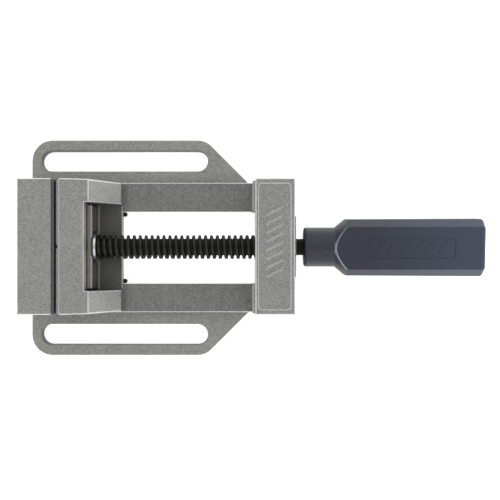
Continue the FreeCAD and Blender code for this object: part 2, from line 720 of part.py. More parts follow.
def soften_moving_jaw(body):
    """Rounded shoulders, rounded rim of the well, broken front edge."""
    jaw_top, jaw_rear, front = number("jaw_top"), number(JAW_REAR), number(JAW_FRONT)
    outer = number("jaw_width / 2 - jaw_taper")
    shoulder = number("shoulder_rear")

    def outer_edge(box):
        above = box.ZMin > shoulder - 0.05
        return above and min(abs(box.YMin), abs(box.YMax)) > outer - 0.05 and box.XLength > 0.05

    dress("Fillet", body, "edge_radius", outer_edge)
    dress(
        "Chamfer",
        body,
        "top_chamfer",
        lambda box: level_at(box, jaw_top) and near(box.XMin, front) and near(box.XMax, front),
    )
    well_side = number("well_width / 2")
    dress(
        "Fillet",
        body,
        "well_rim_radius",
        lambda box: box.ZMin > shoulder - 0.05
        and near(reach(box), well_side)
        and box.XLength > number("well_radius")
        and near(box.YLength, 0)
        and box.XMax < jaw_rear + 0.05,
    )


def thrust_plate():
    """Steel plate that takes the screw's push, standing in the well behind the jaw."""
    body = new_body("thrust_plate")
    half = "thrust_width / 2"
    plan = Profile(body, "thrust_plan", level="well_floor")
    plan.rectangle((WELL_FRONT, negative(half)), (THRUST_REAR, half))
    pad(plan, "thrust_top - well_floor")
    top, rear = number("thrust_top"), number(THRUST_REAR)
    dress("Fillet", body, "thrust_radius", lambda box: level_at(box, top) or (
        upright(box) and near(box.XMin, rear)))
    centre = ("0", "spindle_height")
    hole = Profile(body, "thrust_hole", "YZ_Plane", THRUST_REAR)
    pocket(hole.circle(centre, "journal_radius + running_clearance"), "thrust_depth")
    seat = Profile(body, "thrust_seat", "YZ_Plane", THRUST_REAR)
    pocket(seat.circle(centre, "seat_radius"), "seat_depth")
    return body


def keeper_plate():
    """Steel plate below the rails that keeps the jaw down, with two ears at the rear."""
    body = new_body("keeper_plate")
    rear = "(keeper_depth - keeper_front)"
    half = "keeper_width / 2"
    plan = Profile(body, "keeper_plan", level=KEEPER_BOTTOM)
    plan.rectangle(("-keeper_front", negative(half)), (rear, half))
    pad(plan, "keeper_thickness")
    dress("Fillet", body, "keeper_radius", upright)
    ears = Profile(body, "keeper_ears", level=KEEPER_BOTTOM)
    for middle in ("ear_middle", "-ear_middle"):
        tip = (f"{rear} + ear_reach - ear_radius", middle)
        ears.obround((f"{rear} - ear_root", middle), tip, "ear_radius")
    pad(ears, "keeper_thickness")
    holes = Profile(body, "keeper_plate_holes", level="foot_bottom")
    for offset in ("keeper_screw_y", "-keeper_screw_y"):
        centre = (f"{JAW_REAR} - keeper_screw_x", offset)
        holes.circle(centre, "keeper_screw_radius + hole_clearance")
    pocket(holes, "keeper_thickness")
    return body


def beside_keeper_screw(body, name):
    """A profile whose upright axis is that of the keeper screw at +Y."""
    return Profile(
        body, name, "XZ_Plane", "-keeper_screw_y", shift=f"{JAW_REAR} - keeper_screw_x"
    )


def keeper_screws():
    """Two button head screws that hold the keeper plate, heads down."""
    body = new_body("keeper_screws")
    bottom = f"{HEAD_TOP} - keeper_head_height"
    end = "foot_bottom + keeper_screw_reach"
    half = beside_keeper_screw(body, "keeper_screw_half").polygon(
        ("0", bottom),
        ("keeper_crown_radius", bottom),
        ("keeper_head_radius", f"{HEAD_TOP} - keeper_rim_height"),
        ("keeper_head_radius", HEAD_TOP),
        ("keeper_screw_radius", HEAD_TOP),
        ("keeper_screw_radius", end),
        ("0", end),
    )
    screw = revolve(half, axis="V_Axis")
    corner = "keeper_socket / 2 / sqrt(3)"
    middle = f"{JAW_REAR} - keeper_screw_x"
    hexagon = Profile(body, "keeper_socket_plan", level=bottom).polygon(
        *(
            (f"{middle} {u} keeper_socket / 2", f"keeper_screw_y {v}")
            for u, v in (("+", f"- {corner}"), ("+", f"+ {corner}"))
        ),
        (middle, f"keeper_screw_y + 2 * {corner}"),
        *(
            (f"{middle} {u} keeper_socket / 2", f"keeper_screw_y {v}")
            for u, v in (("-", f"+ {corner}"), ("-", f"- {corner}"))
        ),
        (middle, f"keeper_screw_y - 2 * {corner}"),
    )
    mirror(body, [screw, pocket(hexagon, "keeper_socket_depth", reverse=True)])
    return body


def keeper_lock_washers():
    """A split spring washer under each keeper screw's head."""
    body = new_body("keeper_lock_washers")
    inner = "keeper_screw_radius + hole_clearance"
    half = beside_keeper_screw(body, "lock_washer_half")
    ring = revolve(
        half.rectangle((inner, HEAD_TOP), ("washer_radius", KEEPER_BOTTOM)), axis="V_Axis"
    )
    split = Profile(body, "lock_washer_split", level=KEEPER_BOTTOM)
    middle = f"{JAW_REAR} - keeper_screw_x"
    low = (middle, "keeper_screw_y - washer_split / 2")
    high = (f"{middle} + 2 * washer_radius", "keeper_screw_y + washer_split / 2")
    mirror(body, [ring, pocket(split.rectangle(low, high), "washer_thickness")])
    return body


def on_screw_axis(body, turn="0"):
    """Raise a body, modelled about its own X axis, onto the screw's axis."""
    body.Placement.Rotation.Axis = Vector(1, 0, 0)
    bind(body, "Placement.Base.z", "spindle_height")
    bind(body, "Placement.Rotation.Angle", turn)
    return body


def spindle():
    """The screw: plain tip, right-handed trapezoidal thread, plain shank."""
    body = new_body("spindle")
    tip = f"{JAW_REAR} - tip_front"
    outline = Profile(body, "spindle_half", "XZ_Plane").polygon(
        (tip, "0"),
        (tip, "journal_radius - tip_chamfer"),
        (f"{tip} + tip_chamfer", "journal_radius"),
        (COLLAR_REAR, "journal_radius"),
        (COLLAR_REAR, "thread_radius"),
        ("thread_rear - thread_chamfer", "thread_radius"),
        ("thread_rear", "thread_radius - thread_chamfer"),
        ("thread_rear", "shank_radius"),
        ("shank_rear - tip_chamfer", "shank_radius"),
        ("shank_rear", "shank_radius - tip_chamfer"),
        ("shank_rear", "0"),
    )
    revolve(outline)
    ring_rear = f"({WELL_FRONT} - front_washer_thickness - 2 * washer_play)"
    groove = Profile(body, "ring_groove", "XZ_Plane")
    groove.rectangle(
        (f"{ring_rear} - ring_thickness", "ring_groove_radius"),
        (ring_rear, "thread_radius"),
    )
    revolve(groove, "Groove")
    pin_hole = Profile(body, "spindle_pin_hole", level="thread_radius")
    pocket(pin_hole.circle(("pin_place", "0"), "pin_radius"), "2 * thread_radius")
    cut_thread(body)
    return on_screw_axis(body, "handle_turn + pin_turn")


def cut_thread(body):
    """The helical groove, run out past both ends of the threaded length."""
    start = f"({COLLAR_REAR} - thread_pitch)"
    floor_half = "thread_valley / 2"
    mouth_half = "(thread_pitch - thread_crest) / 2"
    section = Profile(body, "thread_section", "XZ_Plane").polygon(
        (f"{start} - {floor_half}", "thread_root"),
        (f"{start} + {floor_half}", "thread_root"),
        (f"{start} + {mouth_half}", "thread_radius"),
        (f"{start} + {mouth_half}", "thread_radius + thread_overcut"),
        (f"{start} - {mouth_half}", "thread_radius + thread_overcut"),
        (f"{start} - {mouth_half}", "thread_radius"),
    )
    helix = body.newObject("PartDesign::SubtractiveHelix", "thread")
    helix.Profile = section.sketch
    helix.ReferenceAxis = (section.sketch, ["H_Axis"])
    helix.Mode = "pitch-height-angle"
    bind(helix, "Pitch", "thread_pitch")
    bind(helix, "Height", f"thread_rear - {start} + thread_pitch")
    doc.recompute()
    return helix


def ring(name, front, rear, inner, outer):
    """A flat ring about the screw's axis, between two places along X."""
    body = new_body(name)
    section = Profile(body, f"{name}_section", "XZ_Plane")
    revolve(section.rectangle((front, inner), (rear, outer)))
    return on_screw_axis(body)


def spindle_bush():
    """Bush in the bridge that carries the screw's thread."""
    inner = "thread_radius + thread_clearance"
    return ring("spindle_bush", "bridge_front", "bridge_rear + boss_depth", inner, "bush_radius")


def rear_thrust_washer():
    """Dark washer in the plate's counterbore."""
    front = f"{THRUST_REAR} - seat_depth"
    rear = f"{COLLAR_FRONT} - washer_play"
    inner = "journal_radius + running_clearance"
    return ring("rear_thrust_washer", front, rear, inner, "rear_washer_radius")


def thrust_collar():
    """Bright collar against the shoulder of the thread."""
    return ring("thrust_collar", COLLAR_FRONT, COLLAR_REAR, "journal_radius", "collar_radius")


def front_thrust_washer():
    """Washer between the thrust plate and the retaining ring."""
    rear = f"{WELL_FRONT} - washer_play"
    front = f"{rear} - front_washer_thickness"
    inner = "journal_radius + running_clearance"
    return ring("front_thrust_washer", front, rear, inner, "front_washer_radius")


def retaining_ring():
    """Open spring ring in the groove near the tip."""
    rear = f"{WELL_FRONT} - front_washer_thickness - 2 * washer_play"
    front = f"{rear} - ring_thickness"
    body = ring("retaining_ring", front, rear, "ring_groove_radius", "ring_radius")
    opening = Profile(body, "ring_opening_cut", "YZ_Plane", rear)
    opening.rectangle(("-ring_opening / 2", "-ring_radius"), ("ring_opening / 2", "0"))
    pocket(opening, "ring_thickness")
    return body


def handle_body():
    """Moulded handle: round neck, cone, and a paddle with an eight-sided section."""
    body = new_body("handle_body")
    shape_handle(body)
    mark_handle(body)
    bore = Profile(body, "handle_bore", "YZ_Plane", "handle_front")
    pocket(bore.circle(("0", "0"), "shank_radius"), "shank_rear - handle_front", reverse=True)
    pin_hole = Profile(body, "handle_pin_hole", tilt="pin_turn")
    pin_hole.circle(("pin_place", "0"), "pin_radius")
    pocket(pin_hole, "4 * neck_radius", symmetric=True)
    return on_screw_axis(body, "handle_turn")


def shape_handle(body):
    """A turned blank, cut to the section of the paddle and rounded."""
    neck_rear = "(handle_front + neck_length)"
    cone_rear = f"({neck_rear} + cone_length)"
    blank = Profile(body, "handle_half", "XZ_Plane").polygon(
        ("handle_front", "0"),
        ("handle_front", "neck_radius"),
        (neck_rear, "neck_radius"),
        (cone_rear, "cone_radius"),
        ("handle_rear", "cone_radius"),
        ("handle_rear", "0"),
    )
    revolve(blank)
    flat, wide = "flat_half_width", "paddle_front_width"
    height = "paddle_thickness / 2"
    edge = f"({height} - bevel_drop / bevel_run * ({wide} - {flat}))"
    outside = "2 * cone_radius"
    corners = ((flat, height), (wide, edge), (wide, negative(edge)), (flat, negative(height)))
    section = Profile(body, "paddle_section", "YZ_Plane", "handle_rear")
    section.rectangle((negative(outside), negative(outside)), (outside, outside))
    section.polygon(*corners, *((negative(u), negative(v)) for u, v in corners))
    pocket(section, f"handle_rear - {neck_rear}")
    sides = Profile(body, "paddle_sides", level=outside)
    for sign in ("", "-"):
        sides.polygon(
            (neck_rear, f"{sign}paddle_front_width / 2"),
            ("handle_rear", f"{sign}paddle_rear_width / 2"),
            ("handle_rear", f"{sign}{outside}"),
            (neck_rear, f"{sign}{outside}"),
        )
    pocket(sides, f"2 * {outside}")
    soften_handle(body)


def soften_handle(body):
    """Rounded long edges, rear edges and front edge of the neck."""
    rear, front = number("handle_rear"), number("handle_front")
    long_enough = number("label_length")
    dress("Fillet", body, "paddle_edge_radius", lambda box: box.XLength > long_enough)
    dress(
        "Fillet",
        body,
        "paddle_end_radius",
        lambda box: near(box.XMin, rear) and near(box.XMax, rear),
    )
    dress(
        "Fillet",
        body,
        "neck_edge_radius",
        lambda box: near(box.XMin, front) and near(box.XMax, front),
    )


def mark_handle(body):
    """Sunk field on the upper flat, with a row of slanted raised bars."""
    top = "paddle_thickness / 2"
    half = "label_width / 2"
    field = Profile(body, "label_field", level=top)
    field.rectangle(("label_front", negative(half)), ("label_front + label_length", half))
    pocket(field, "label_depth")
    first = "label_front + label_bar_first"
    bar = Profile(body, "label_bar", level=f"{top} - label_depth").polygon(
        (f"{first} - label_bar_slant - label_bar_width / 2", "-label_bar_reach"),
        (f"{first} - label_bar_slant + label_bar_width / 2", "-label_bar_reach"),
        (f"{first} + label_bar_slant + label_bar_width / 2", "label_bar_reach"),
        (f"{first} + label_bar_slant - label_bar_width / 2", "label_bar_reach"),
    )
    repeat(body, pad(bar, "label_bar_height"), "H_Axis", "label_bar_pitch", LABEL_BARS)


def handle_pin():
    """Cross pin that ties the handle to the shank."""
    body = new_body("handle_pin")
    plan = Profile(body, "pin_plan", level="-pin_length / 2")
    pad(plan.circle(("pin_place", "0"), "pin_radius"), "pin_length")
    return on_screw_axis(body, "handle_turn + pin_turn")


def build():
    """Every sub-part, from the casting outwards."""
    fixed = (FIXED_SEAT, FIXED_FACE, "-")
    moving = (JAW_FRONT, MOVING_FACE, "+")
    return (
        frame_casting(),
        spindle_bush(),
        jaw_plate("fixed_jaw_plate", *fixed, grooved=False),
        plate_screws("fixed_plate_screws", *fixed),
        moving_jaw(),
        jaw_plate("moving_jaw_plate", *moving, grooved=True),
        plate_screws("moving_plate_screws", *moving),
        thrust_plate(),
        rear_thrust_washer(),
        keeper_plate(),
        keeper_screws(),
        keeper_lock_washers(),
        spindle(),
        thrust_collar(),
        front_thrust_washer(),
        retaining_ring(),
        handle_body(),
        handle_pin(),
    )


def write_steps(sub_parts):
    """Check every object of the document, then write one STEP file for each sub-part."""
    doc.recompute()
    failed = [item.Name for item in doc.Objects if {"Invalid", "Error"} & set(item.State)]
    if failed:
        raise RuntimeError(f"failed objects: {', '.join(failed)}")
    for part in sub_parts:
        if part.Shape.isNull() or not part.Shape.isValid():
            raise RuntimeError(f"{part.Label} has no valid shape")
    os.makedirs("parts", exist_ok=True)
    for part in sub_parts:
        part.Shape.exportStep(os.path.join("parts", f"{part.Label}.step"))


write_steps(build())
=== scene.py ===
"""A low-profile machine vise: the finishes of its parts and the studio around it.

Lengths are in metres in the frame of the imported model. +X runs along the screw towards
the handle, +Z is up, and the underside of the casting stands on Z = 0.
"""

from __future__ import annotations

import logging
import math
from dataclasses import dataclass
from enum import Enum
from typing import Any

import bmesh
import bpy
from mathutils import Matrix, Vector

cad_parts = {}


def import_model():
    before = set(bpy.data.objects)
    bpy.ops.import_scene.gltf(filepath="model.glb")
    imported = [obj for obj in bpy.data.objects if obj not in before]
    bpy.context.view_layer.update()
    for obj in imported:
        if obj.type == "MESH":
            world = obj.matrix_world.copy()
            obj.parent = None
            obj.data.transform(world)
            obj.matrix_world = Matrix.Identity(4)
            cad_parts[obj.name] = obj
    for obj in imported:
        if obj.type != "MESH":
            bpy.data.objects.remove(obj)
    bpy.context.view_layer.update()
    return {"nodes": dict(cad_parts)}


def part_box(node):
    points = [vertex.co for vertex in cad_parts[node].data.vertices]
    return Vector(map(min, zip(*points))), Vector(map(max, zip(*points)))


log = logging.getLogger("vise")

MM = 0.001
Colour = tuple[float, float, float]
Span = tuple[float, float]

# A tone or a relief that no pattern has changed.
MIDDLE = 0.5
# Sockets of a Mix node that is set to colours.
MIX_FACTOR, MIX_LOW, MIX_HIGH, MIX_RESULT = 0, 6, 7, 2


def about(middle: float, reach: float) -> Span:
    """The span that reaches as far to both sides of a middle."""
    return middle - reach, middle + reach


def toned(colour: Colour, factor: float) -> Colour:
    """A colour made lighter or darker."""
    return tuple(min(1.0, factor * part) for part in colour)


class Lay(Enum):
    """Direction in which a tool has left its fine lines."""

    ALONG_Y = (1.0, 0.02, 1.0)
    ALONG_Z = (1.0, 1.0, 0.02)
    EVERY_WAY = (1.0, 1.0, 1.0)


class Term:
    """A number that varies over a surface. Python's operators add Math nodes to it."""

    def __init__(self, graph: Graph, socket: bpy.types.NodeSocket) -> None:
        """Wrap one output socket of a graph."""
        self.graph = graph
        self.socket = socket

    def __add__(self, other: Term | float) -> Term:
        """Sum of two terms."""
        return self.graph.math("ADD", self, other)

    def __radd__(self, other: Term | float) -> Term:
        """Sum with a plain number in front."""
        return self.graph.math("ADD", other, self)

    def __sub__(self, other: Term | float) -> Term:
        """Difference of two terms."""
        return self.graph.math("SUBTRACT", self, other)

    def __rsub__(self, other: Term | float) -> Term:
        """A plain number less this term."""
        return self.graph.math("SUBTRACT", other, self)

    def __mul__(self, other: Term | float) -> Term:
        """Product of two terms."""
        return self.graph.math("MULTIPLY", self, other)

    def __rmul__(self, other: Term | float) -> Term:
        """Product with a plain number in front."""
        return self.graph.math("MULTIPLY", other, self)

    def __abs__(self) -> Term:
        """Size of the term without its sign."""
        return self.graph.math("ABSOLUTE", self)

    def root(self) -> Term:
        """Square root."""
        return self.graph.math("SQRT", self)

    def wave(self) -> Term:
        """Sine, for evenly spaced tool marks."""
        return self.graph.math("SINE", self)

    def most(self, other: Term | float) -> Term:
        """The larger of two terms."""
        return self.graph.math("MAXIMUM", self, other)

    def least(self, other: Term | float) -> Term:
        """The smaller of two terms."""
        return self.graph.math("MINIMUM", self, other)

    def step(self, low: float, high: float) -> Term:
        """Smooth step from 0 at low to 1 at high, or the other way round if low > high.

        Args:
            low: where the step leaves 0.
            high: where it reaches 1.

        Returns:
            The stepped term.
        """
        if low > high:
            return 1.0 - self.step(high, low)
        made = self.graph.node(
            "ShaderNodeMapRange",
            {"interpolation_type": "SMOOTHSTEP", "clamp": True},
            {"Value": self, "From Min": low, "From Max": high},
        )
        return Term(self.graph, made.outputs["Result"])

    def within(self, low: float, high: float, soft: float) -> Term:
        """1 between two values and 0 outside them, with soft borders."""
        return self.step(low - soft, low + soft) * self.step(high + soft, high - soft)


@dataclass(frozen=True)
class Place:
    """Where a point of a piece is, and which way its surface faces."""

    vector: bpy.types.NodeSocket
    x: Term
    y: Term
    z: Term
    rearward: Term
    sideways: Term
    up: Term

    def near_direction(self, rearward: float, up: float, soft: float) -> Term:
        """1 where the surface faces a direction in the plane Y = 0, 0 away from it.

        Args:
            rearward: the direction's part along X.
            up: its part along Z.
            soft: how far the border reaches.

        Returns:
            The mask.
        """
        off = self.sideways * self.sideways
        for term, middle in ((self.rearward, rearward), (self.up, up)):
            off = off + (term - middle) * (term - middle)
        return off.root().step(2 * soft, soft)

    def from_axis(self, height: float) -> Term:
        """Distance in metres from the line along X at a height above the base."""
        rise = self.z - height
        return (self.y * self.y + rise * rise).root()


class Graph:
    """The nodes of one material or world."""

    def __init__(self, tree: bpy.types.NodeTree) -> None:
        """Start from an empty tree."""
        self.tree = tree
        tree.nodes.clear()

    @classmethod
    def of_material(cls, name: str) -> tuple[Graph, bpy.types.Material]:
        """A new material and the graph that fills it.

        Args:
            name: the material's name.

        Returns:
            The graph and the material.
        """
        material = bpy.data.materials.new(name)
        material.use_nodes = True
        return cls(material.node_tree), material

    def node(
        self,
        kind: str,
        settings: dict[str, Any] | None = None,
        inputs: dict[str | int, Any] | None = None,
    ) -> bpy.types.Node:
        """Add one node.

        Args:
            kind: the node's type name.
            settings: its options, set before its sockets. "stops" sets a ramp's stops as
                (position, colour) pairs.
            inputs: a value, a Term or a socket for each input.

        Returns:
            The node.
        """
        made = self.tree.nodes.new(kind)
        for key, value in (settings or {}).items():
            if key == "stops":
                self._set_stops(made.color_ramp, value)
            else:
                setattr(made, key, value)
        for key, value in (inputs or {}).items():
            source = value.socket if isinstance(value, Term) else value
            if isinstance(source, bpy.types.NodeSocket):
                self.tree.links.new(source, made.inputs[key])
            else:
                made.inputs[key].default_value = source
        return made

    @staticmethod
    def _set_stops(ramp: bpy.types.ColorRamp, stops: list[tuple[float, Colour]]) -> None:
        """Give a ramp its stops.

        Args:
            ramp: the ramp.
            stops: the position and the colour of each stop.
        """
        while len(ramp.elements) < len(stops):
            ramp.elements.new(1.0)
        for element, (position, colour) in zip(ramp.elements, stops):
            element.position = position
            element.color = (*colour, 1.0)

    def math(self, operation: str, *parts: Term | float) -> Term:
        """One Math node on terms or numbers."""
        made = self.node("ShaderNodeMath", {"operation": operation}, dict(enumerate(parts)))
        return Term(self, made.outputs[0])

    def place(self) -> Place:
        """Object coordinates and the way the surface faces.

        Returns:
            Both, split into their parts.
        """
        source = self.node("ShaderNodeTexCoord")
        split = self.node("ShaderNodeSeparateXYZ", None, {0: source.outputs["Object"]})
        facing = self.node("ShaderNodeSeparateXYZ", None, {0: source.outputs["Normal"]})
        terms = [Term(self, socket) for socket in (*split.outputs, *facing.outputs)]
        return Place(source.outputs["Object"], *terms)

    def stretched(
        self, vector: bpy.types.NodeSocket, lay: Lay, shift: float = 0.0
    ) -> bpy.types.NodeSocket:
        """Coordinates drawn out along a lay and shifted, so that no two patterns repeat.

        Args:
            vector: the coordinates.
            lay: direction in which a pattern is drawn out.
            shift: offset in metres.

        Returns:
            The new coordinates' socket.
        """
        made = self.node(
            "ShaderNodeMapping",
            None,
            {"Vector": vector, "Location": (shift, shift / 2, -shift), "Scale": lay.value},
        )
        return made.outputs[0]

    def noise(
        self,
        place: Place,
        size: float,
        detail: float = 2.0,
        lay: Lay = Lay.EVERY_WAY,
        shift: float = 0.0,
    ) -> Term:
        """Cloudy pattern about 0.

        Args:
            place: where it is read.
            size: size of its cells in metres.
            detail: how many finer layers it has.
            lay: direction in which it is drawn out.
            shift: offset in metres.

        Returns:
            A term between about -0.5 and 0.5.
        """
        made = self.node(
            "ShaderNodeTexNoise",
            {"noise_dimensions": "3D"},
            {
                "Vector": self.stretched(place.vector, lay, shift),
                "Scale": 1.0 / size,
                "Detail": detail,
                "Roughness": 0.6,
            },
        )
        return Term(self, made.outputs["Fac"]) - MIDDLE

    def cells(self, place: Place, size: float, shift: float = 0.0) -> Term:
        """Distance to the nearest of many scattered points, 0 at a point.

        Args:
            place: where it is read.
            size: distance between points in metres.
            shift: offset in metres.

        Returns:
            A term from 0 to about 1.
        """
        made = self.node(
            "ShaderNodeTexVoronoi",
            {"feature": "F1"},
            {"Vector": self.stretched(place.vector, Lay.EVERY_WAY, shift), "Scale": 1.0 / size},
        )
        return Term(self, made.outputs["Distance"])

    def blend(
        self,
        factor: Term,
        low: Colour | bpy.types.NodeSocket,
        high: Colour | bpy.types.NodeSocket,
    ) -> bpy.types.NodeSocket:
        """Mix two colours.

        Args:
            factor: the share of the second colour.
            low: the colour at 0.
            high: the colour at 1.

        Returns:
            The mixed colour's socket.
        """
        inputs: dict[str | int, Any] = {MIX_FACTOR: factor}
        for index, colour in ((MIX_LOW, low), (MIX_HIGH, high)):
            linked = isinstance(colour, bpy.types.NodeSocket)
            inputs[index] = colour if linked else (*colour, 1.0)
        made = self.node("ShaderNodeMix", {"data_type": "RGBA", "clamp_factor": True}, inputs)
        return made.outputs[MIX_RESULT]

    def bump(self, height: Term, depth: float, strength: float = 1.0) -> bpy.types.NodeSocket:
        """Normal from a height between 0 and 1.

        Args:
            height: the relief.
            depth: what a height of 1 is worth, in metres.
            strength: share of the relief that is used.

        Returns:
            The normal's socket.
        """
        made = self.node(
            "ShaderNodeBump", None, {"Strength": strength, "Distance": depth, "Height": height}
        )
        return made.outputs[0]

    def surface(self, inputs: dict[str, Any]) -> None:
        """Close the material with its shader."""
        shader = self.node("ShaderNodeBsdfPrincipled", None, inputs)
        self.node("ShaderNodeOutputMaterial", None, {"Surface": shader.outputs[0]})


@dataclass(frozen=True)
class Zone:
    """A box in the frame's coordinates in which a surface is finished differently, or takes
    painted light or painted shade.
    """

    x: Span
    y: Span
    z: Span
    soft: float = 0.15 * MM
    weight: float = 1.0

    def mask(self, place: Place) -> Term:
        """How much of the zone's finish, painted light or painted shade a point takes.

        Args:
            place: where it is read.

        Returns:
            The weight inside the box and 0 outside it.
        """
        spans = zip((place.x, place.y, place.z), (self.x, self.y, self.z))
        masks = [term.within(*span, self.soft) for term, span in spans]
        return masks[0] * masks[1] * masks[2] * self.weight


@dataclass(frozen=True)
class CastAluminium:
    """Die-cast aluminium: blasted grain, rubbed faces, painted highlights on edges, painted
    light on a sloping shoulder, and painted shade on walls and on the well's floor.
    """

    name: str
    rubbed_and_highlit: tuple[Zone, ...] = ()
    # painted shade on the well's floor
    painted_well_shade: tuple[Zone, ...] = ()
    # painted highlights
    painted_highlights: tuple[Zone, ...] = ()
    # painted shade on walls
    painted_wall_shade: tuple[Zone, ...] = ()
    metal: Colour = (0.55, 0.55, 0.52)
    # colour of the painted highlights on edges
    edge_highlight: Colour = (0.66, 0.66, 0.64)
    black: Colour = (0.0, 0.0, 0.0)
    metallic: float = 0.85
    edge_metallic: float = 0.5
    roughness: float = 0.52
    polish: float = 0.12
    # the blasted skin
    grain_size: float = 0.7 * MM
    lump_size: float = 1.68 * MM
    pit_size: float = 1.19 * MM
    pit_rim: Span = (0.34, 0.08)
    mottle_size: float = 14 * MM
    grain_tone: float = 0.65
    lump_tone: float = 0.26
    mottle_tone: float = 0.12
    pit_tone: float = 0.1
    grain_gloss: float = 0.25
    grain_relief: float = 0.8
    pit_relief: float = 0.4
    relief: float = 0.8
    relief_depth: float = 0.10 * MM
    # level faces that another part has rubbed, painted shade on the well's floor, and painted
    # shade on walls
    level_up: Span = (0.8, 0.95)
    line_size: float = 0.5 * MM
    rub_and_highlight: float = 0.25
    rub_lines: float = 0.4
    well_shade_depth: float = 0.62
    wall_shade_depth: float = 0.7
    # painted light: the jaw's sloping shoulder is painted lighter
    slope: tuple[float, float] = (0.79, 0.61)
    slope_soft: float = 0.06
    slope_painted_light: float = 0.38
    # painted highlights on rounded edges above the flanges
    edge_up: Span = (0.22, 0.93)
    edge_soft: float = 0.05
    edge_from: Span = (9 * MM, 11 * MM)
    edge_tone: float = 0.8
    edge_lumps: float = 0.6

    def material(self) -> bpy.types.Material:
        """Make the finish.

        Returns:
            The material.
        """
        graph, material = Graph.of_material(self.name)
        place = graph.place()
        level = place.up.step(*self.level_up)
        rubbed_and_highlit = self._sum(self.rubbed_and_highlit, place) * level
        painted_well_shade = self._sum(self.painted_well_shade, place) * level
        grain = graph.noise(place, self.grain_size)
        lumps = graph.noise(place, self.lump_size, shift=0.31)
        pits = graph.cells(place, self.pit_size, shift=0.17).step(*self.pit_rim)
        mottle = graph.noise(place, self.mottle_size, 3.0, shift=0.5)
        lines = graph.noise(place, self.line_size, lay=Lay.ALONG_Y, shift=0.2)
        tone = MIDDLE + self.grain_tone * grain + self.lump_tone * lumps
        tone = tone + self.mottle_tone * mottle - self.pit_tone * pits
        # darker where rubbed, painted shade on the well's floor and on walls, and painted light
        # on the sloping shoulder
        shade = 1.0 - rubbed_and_highlit * (self.rub_and_highlight + self.rub_lines * lines) - self.well_shade_depth * painted_well_shade
        shade = shade - self.wall_shade_depth * self._sum(self.painted_wall_shade, place)
        shade = shade + self.slope_painted_light * self._slope(place)
        # painted highlights on edges
        edges = self._edges(place)
        edges = edges * (self.edge_tone + self.edge_tone * grain + self.edge_lumps * lumps)
        skin = graph.blend(tone * shade, self.black, self.metal)
        relief = MIDDLE + self.grain_relief * grain + self.grain_relief * lumps
        relief = relief - self.pit_relief * pits
        polish = self.polish * rubbed_and_highlit + self.polish * edges
        graph.surface(
            {
                "Base Color": graph.blend(edges, skin, self.edge_highlight),
                "Metallic": self.metallic - self.edge_metallic * edges,
                "Roughness": self.roughness + self.grain_gloss * grain - polish,
                "Normal": graph.bump(relief, self.relief_depth, self.relief),
            }
        )
        return material

    @staticmethod
    def _sum(zones: tuple[Zone, ...], place: Place) -> Term:
        """Some zones' masks together, which is 0 for no zones.

        Args:
            zones: the zones, which don't overlap.
            place: where they are read.

        Returns:
            The sum.
        """
        total = place.x * 0.0
        for zone in zones:
            total = total + zone.mask(place)
        return total

    def _slope(self, place: Place) -> Term:
        """1 on the sloping shoulder, which is painted lighter."""
        return place.near_direction(*self.slope, self.slope_soft)

    def _edges(self, place: Place) -> Term:
        """Painted highlights on rounded edges and in the given zones, without the sloping
        shoulder.

        Args:
            place: where they are read.

        Returns:
            1 on the edges and 0 on faces.
        """
        rounded = place.up.within(*self.edge_up, self.edge_soft) * place.z.step(*self.edge_from)
        edges = rounded * (1.0 - self._slope(place))
        for zone in self.painted_highlights:
            edges = edges.most(zone.mask(place))
        return edges


@dataclass(frozen=True)
class GroundSteel:
    """Ground or rolled steel with fine lines along its lay."""

    name: str
    colour: Colour
    lay: Lay
    roughness: float = 0.34
    line_size: float = 0.22 * MM
    line_depth: float = 0.012 * MM
    line_tone: float = 0.7
    line_gloss: float = 0.15
    stain_size: float = 6 * MM
    stain_tone: float = 0.6
    stain_gloss: float = 0.12
    contrast: float = 0.2

    def material(self) -> bpy.types.Material:
        """Make the finish.

        Returns:
            The material.
        """
        graph, material = Graph.of_material(self.name)
        place = graph.place()
        lines = graph.noise(place, self.line_size, 3.0, self.lay)
        stain = graph.noise(place, self.stain_size, 4.0, shift=0.4)
        tone = MIDDLE + self.line_tone * lines + self.stain_tone * stain
        dark, light = (toned(self.colour, factor) for factor in about(1.0, self.contrast))
        gloss = self.line_gloss * lines + self.stain_gloss * stain
        graph.surface(
            {
                "Base Color": graph.blend(tone, dark, light),
                "Metallic": 1.0,
                "Roughness": self.roughness + gloss,
                "Normal": graph.bump(MIDDLE + lines, self.line_depth),
            }
        )
        return material


